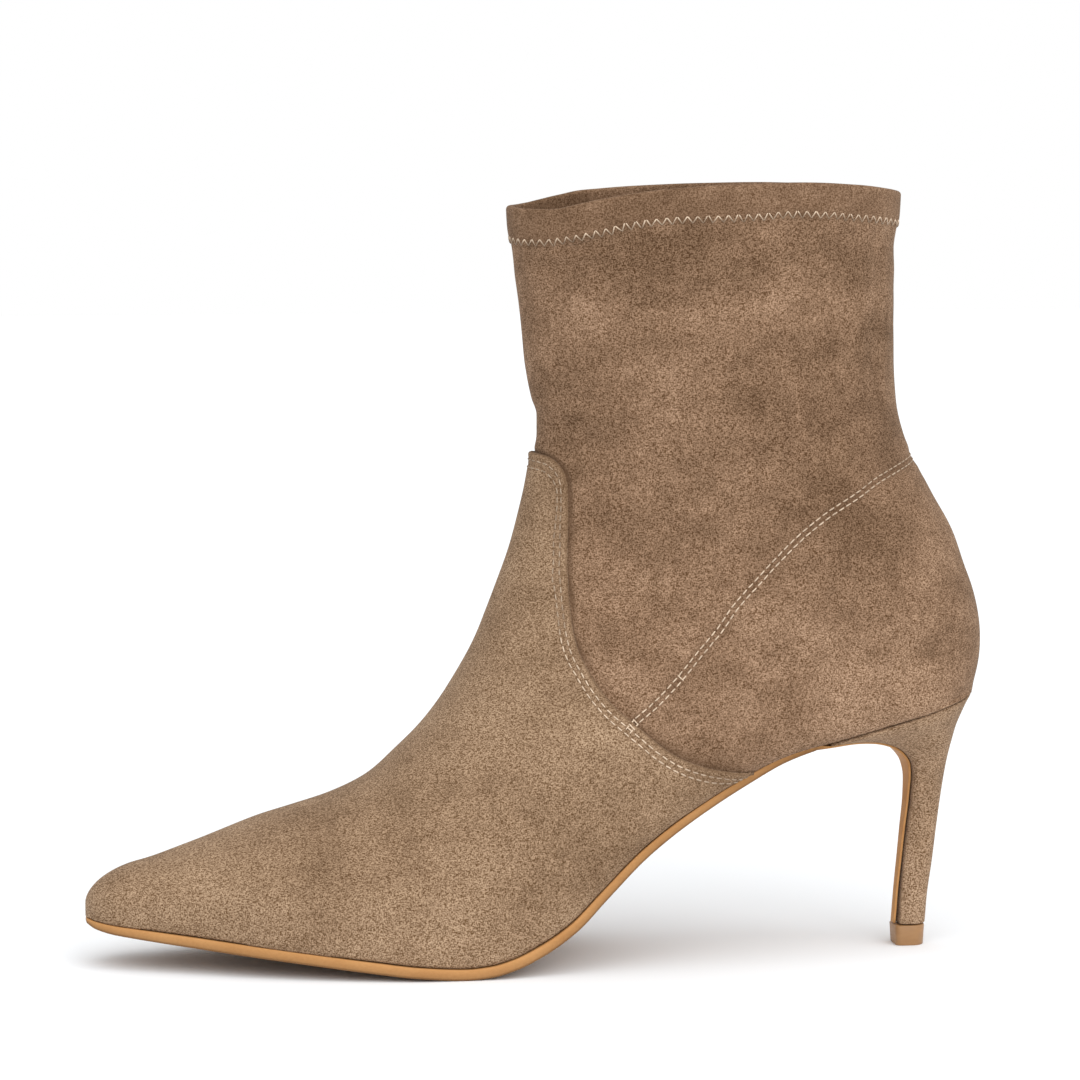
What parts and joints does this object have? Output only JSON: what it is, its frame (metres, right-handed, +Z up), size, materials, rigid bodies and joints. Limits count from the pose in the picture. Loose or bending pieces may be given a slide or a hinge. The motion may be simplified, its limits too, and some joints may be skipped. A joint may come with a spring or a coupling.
{
  "type": "stiletto ankle bootie",
  "caption": "Left ankle bootie: pointed toe, vamp lapped over a soft stretch shaft with a hemmed collar, thin sole that runs on down the breast of a slim covered heel.",
  "frame": {"origin": "on the floor under the middle of the boot's length and width, with the ball of the sole and the heel's tip on the floor at z = 0", "axes": "+X to the toe, +Y to the outer side of this left boot, +Z up"},
  "size_m": [0.2554, 0.0759, 0.2185],
  "materials": {
    "upper": "suede-like nap",
    "insole": "matte",
    "outsole": "satin",
    "heel": "suede-like nap",
    "top_lift": "satin"
  },
  "bodies": {
    "root": {"upper": "upper", "insole": "insole", "outsole": "outsole", "heel": "heel", "top_lift": "top_lift"}
  },
  "joints": []
}
